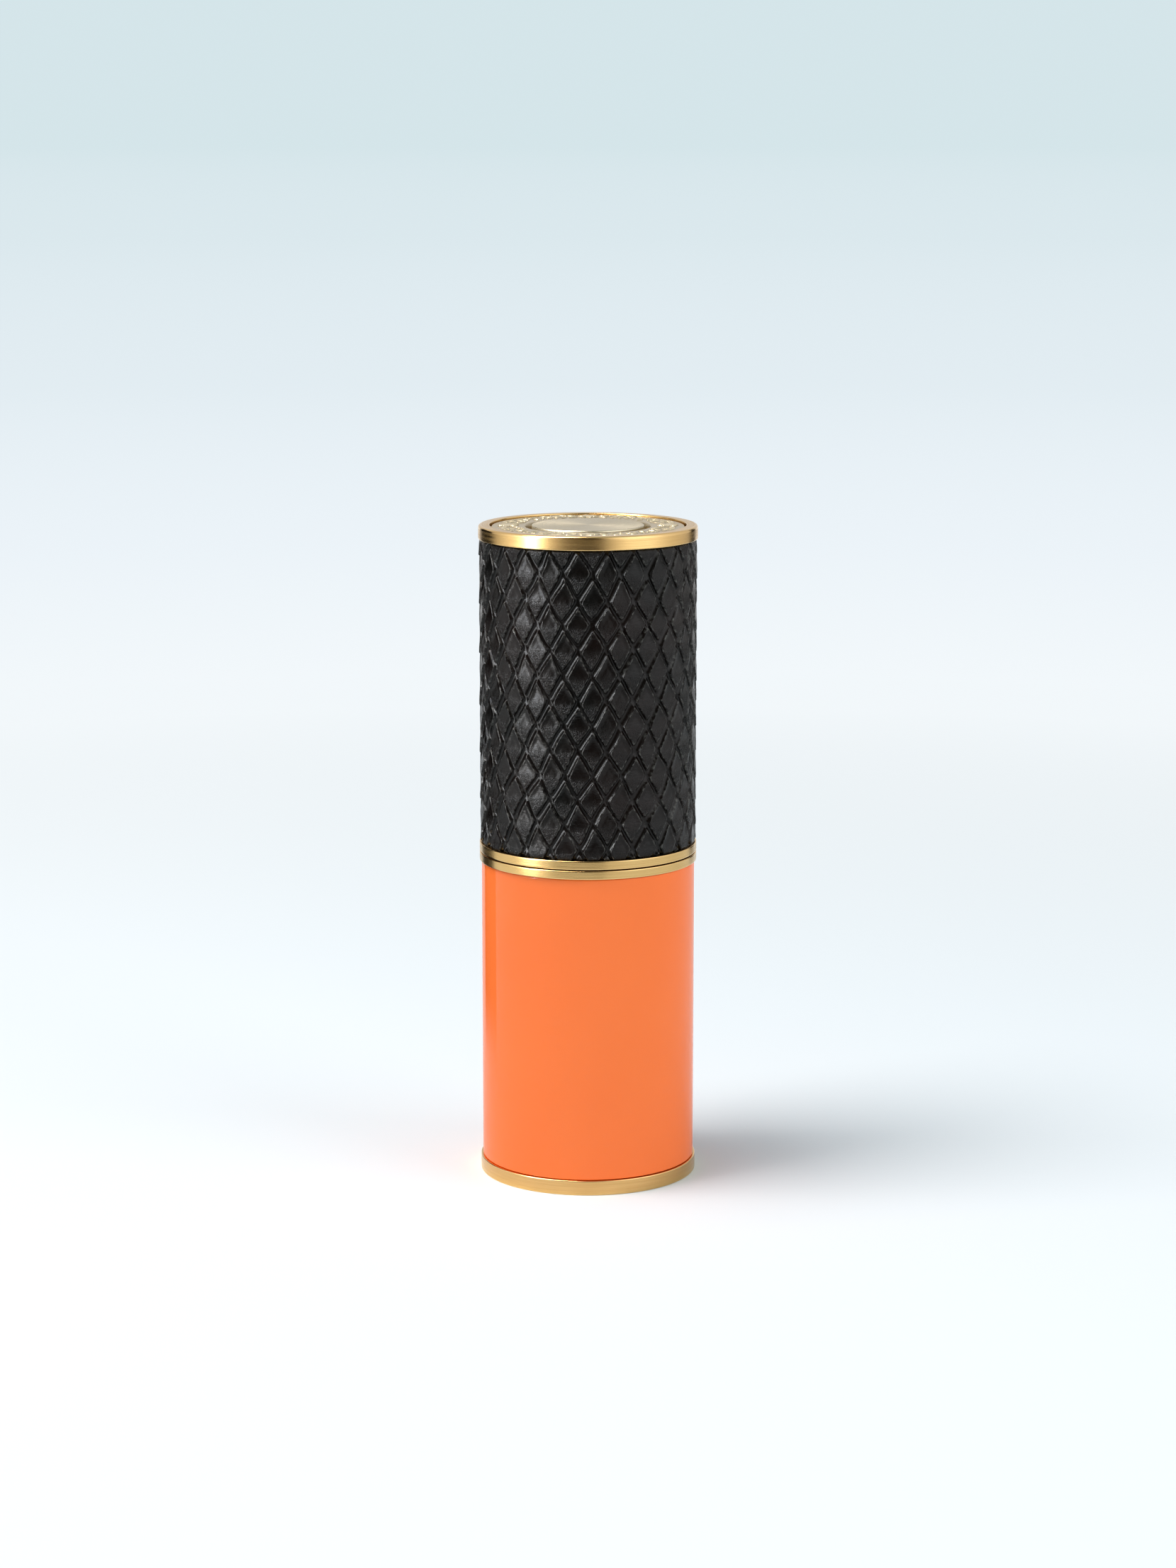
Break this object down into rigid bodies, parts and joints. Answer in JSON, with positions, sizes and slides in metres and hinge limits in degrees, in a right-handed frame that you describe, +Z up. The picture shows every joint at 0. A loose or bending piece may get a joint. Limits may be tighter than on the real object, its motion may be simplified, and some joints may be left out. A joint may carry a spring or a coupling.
{
  "type": "lipstick case",
  "caption": "Round refillable twist-up lipstick case: lacquered base, leather-wrapped lift-off cap, gold rings and a relief disc on top.",
  "frame": {"origin": "middle of the flat ring face that the case stands on", "axes": "+Z up along the case's axis, from the foot to the top of the cap; +X and +Y are free on this round object, and the slanted face of the stick looks along -Y"},
  "size_m": [0.025, 0.025, 0.0755],
  "materials": {
    "gold": "fine brushed, bright bevelled edges",
    "relief_gold": "polished relief, darker in the hollows",
    "pale_gold": "satin",
    "gold_aluminium": "anodised, polished",
    "orange_lacquer": "high-gloss lacquer",
    "black_leather": "embossed in small diamond scales, satin",
    "aluminium": "plain drawn",
    "steel": "zinc plated",
    "black_plastic": "satin moulded",
    "ivory_plastic": "satin moulded",
    "silicone": "matt translucent",
    "paper": "matt, blank",
    "lipstick_wax": "soft sheen"
  },
  "bodies": {
    "base": {"foot_ring": "gold", "bottom_disc": "black_plastic", "bottom_label": "paper", "base_weight": "steel", "base_shell": "orange_lacquer", "base_liner": "black_plastic", "centring_ring": "black_plastic", "collar_ring": "gold"},
    "refill": {"refill_foot": "black_plastic", "refill_label": "paper", "inner_body": "ivory_plastic", "brake_ring": "silicone"},
    "sleeve": {"spiral": "ivory_plastic", "guide_sleeve": "gold_aluminium"},
    "carriage": {"elevator_cup": "ivory_plastic", "bullet": "lipstick_wax"},
    "cap": {"cap_ring": "gold", "cap_shell": "aluminium", "leather_wrap": "black_leather", "cap_liner": "black_plastic", "top_pan": "gold", "ornament_ring": "relief_gold", "medallion": "pale_gold"}
  },
  "joints": [
    {"name": "refill_pull", "type": "slide", "parent": "base", "child": "refill", "axis": [0, 0, 1], "range_m": [0, 0.036]},
    {"name": "cap_lift", "type": "slide", "parent": "refill", "child": "cap", "axis": [0, 0, 1], "range_m": [0, 0.04]},
    {"name": "sleeve_twist", "type": "hinge", "parent": "refill", "child": "sleeve", "pos_m": [0, 0, 0.04], "axis": [0, 0, -1], "range_deg": [0, 540]},
    {"name": "carriage_rise", "type": "slide", "parent": "refill", "child": "carriage", "axis": [0, 0, 1], "range_m": [0, 0.02]}
  ],
  "couplings": [
    {"joint": "carriage_rise", "follows": "sleeve_twist", "m_per_rad": 0.0021221}
  ]
}
